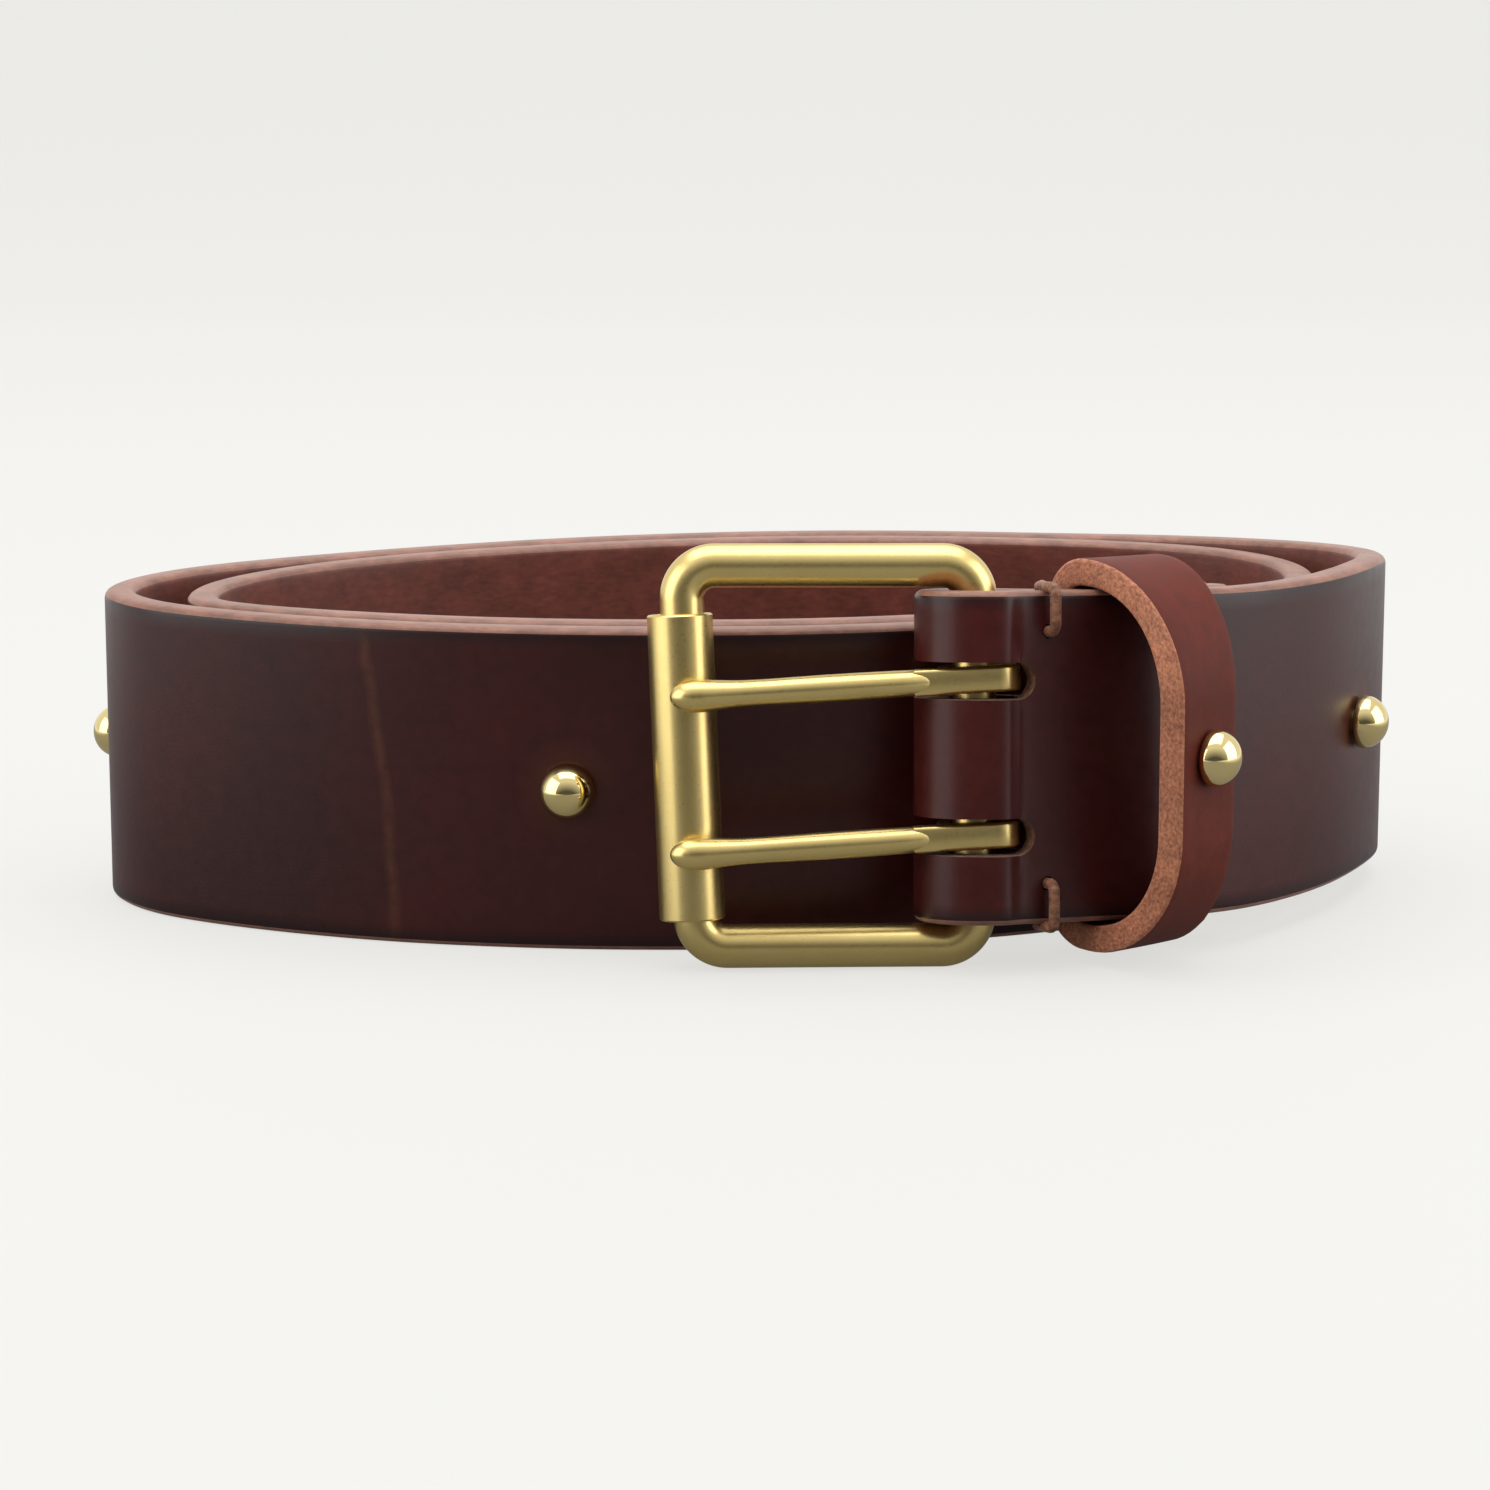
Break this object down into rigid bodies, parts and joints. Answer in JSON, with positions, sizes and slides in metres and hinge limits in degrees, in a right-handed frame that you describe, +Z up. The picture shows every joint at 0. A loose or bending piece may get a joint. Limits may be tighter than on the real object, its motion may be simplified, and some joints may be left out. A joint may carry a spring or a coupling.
{
  "type": "leather belt",
  "caption": "Thick leather belt coiled on its edge, with a brass double-prong roller buckle, leather keeper, dome studs and lace-stitched fold.",
  "frame": {"origin": "middle of the footprint, on the surface the belt stands on", "axes": "+X along the coil's long side, +Y away from the buckle, +Z up from the strap's lower edge"},
  "size_m": [0.189, 0.121, 0.0568],
  "materials": {
    "strap": "polished bridle leather, grain side out, edges dyed lighter",
    "stud_1": "polished",
    "stud_2": "polished",
    "stud_3": "polished",
    "stud_4": "polished",
    "stud_5": "polished",
    "stud_6": "polished",
    "screw_1": "turned",
    "screw_2": "turned",
    "screw_3": "turned",
    "screw_4": "turned",
    "screw_5": "turned",
    "screw_6": "turned",
    "lace_front_top": "thin waxed leather lace",
    "lace_front_bottom": "thin waxed leather lace",
    "lace_rear_top": "thin waxed leather lace",
    "lace_rear_bottom": "thin waxed leather lace",
    "buckle_frame": "satin",
    "roller": "satin",
    "prong_upper": "satin",
    "prong_lower": "satin",
    "keeper": "bridle leather, raw cut edges",
    "keeper_stud": "polished",
    "keeper_screw": "turned"
  },
  "bodies": {
    "strap": {"strap": "strap", "stud_1": "stud_1", "stud_2": "stud_2", "stud_3": "stud_3", "stud_4": "stud_4", "stud_5": "stud_5", "stud_6": "stud_6", "screw_1": "screw_1", "screw_2": "screw_2", "screw_3": "screw_3", "screw_4": "screw_4", "screw_5": "screw_5", "screw_6": "screw_6", "lace_front_top": "lace_front_top", "lace_front_bottom": "lace_front_bottom", "lace_rear_top": "lace_rear_top", "lace_rear_bottom": "lace_rear_bottom"},
    "frame": {"buckle_frame": "buckle_frame"},
    "roller": {"roller": "roller"},
    "prong_upper": {"prong_upper": "prong_upper"},
    "prong_lower": {"prong_lower": "prong_lower"},
    "keeper": {"keeper": "keeper", "keeper_stud": "keeper_stud", "keeper_screw": "keeper_screw"}
  },
  "joints": [
    {"name": "frame_swing", "type": "hinge", "parent": "strap", "child": "frame", "pos_m": [0.0316, -0.04352, 0.02826], "axis": [0, 0.1219, 0.9925], "range_deg": [0, 30]},
    {"name": "roller_spin", "type": "hinge", "parent": "frame", "child": "roller", "pos_m": [-0.00708, -0.04604, 0.02716], "axis": [-0.0411, 0.1193, 0.992], "continuous": true},
    {"name": "prong_upper_swing", "type": "hinge", "parent": "frame", "child": "prong_upper", "pos_m": [0.0316, -0.04352, 0.02826], "axis": [0, 0.1219, 0.9925], "range_deg": [0, 60]},
    {"name": "prong_lower_swing", "type": "hinge", "parent": "frame", "child": "prong_lower", "pos_m": [0.0316, -0.04352, 0.02826], "axis": [0, 0.1219, 0.9925], "range_deg": [0, 60]},
    {"name": "keeper_slide", "type": "slide", "parent": "strap", "child": "keeper", "axis": [0.891, 0.454, 0], "range_m": [0, 0.0009]}
  ]
}
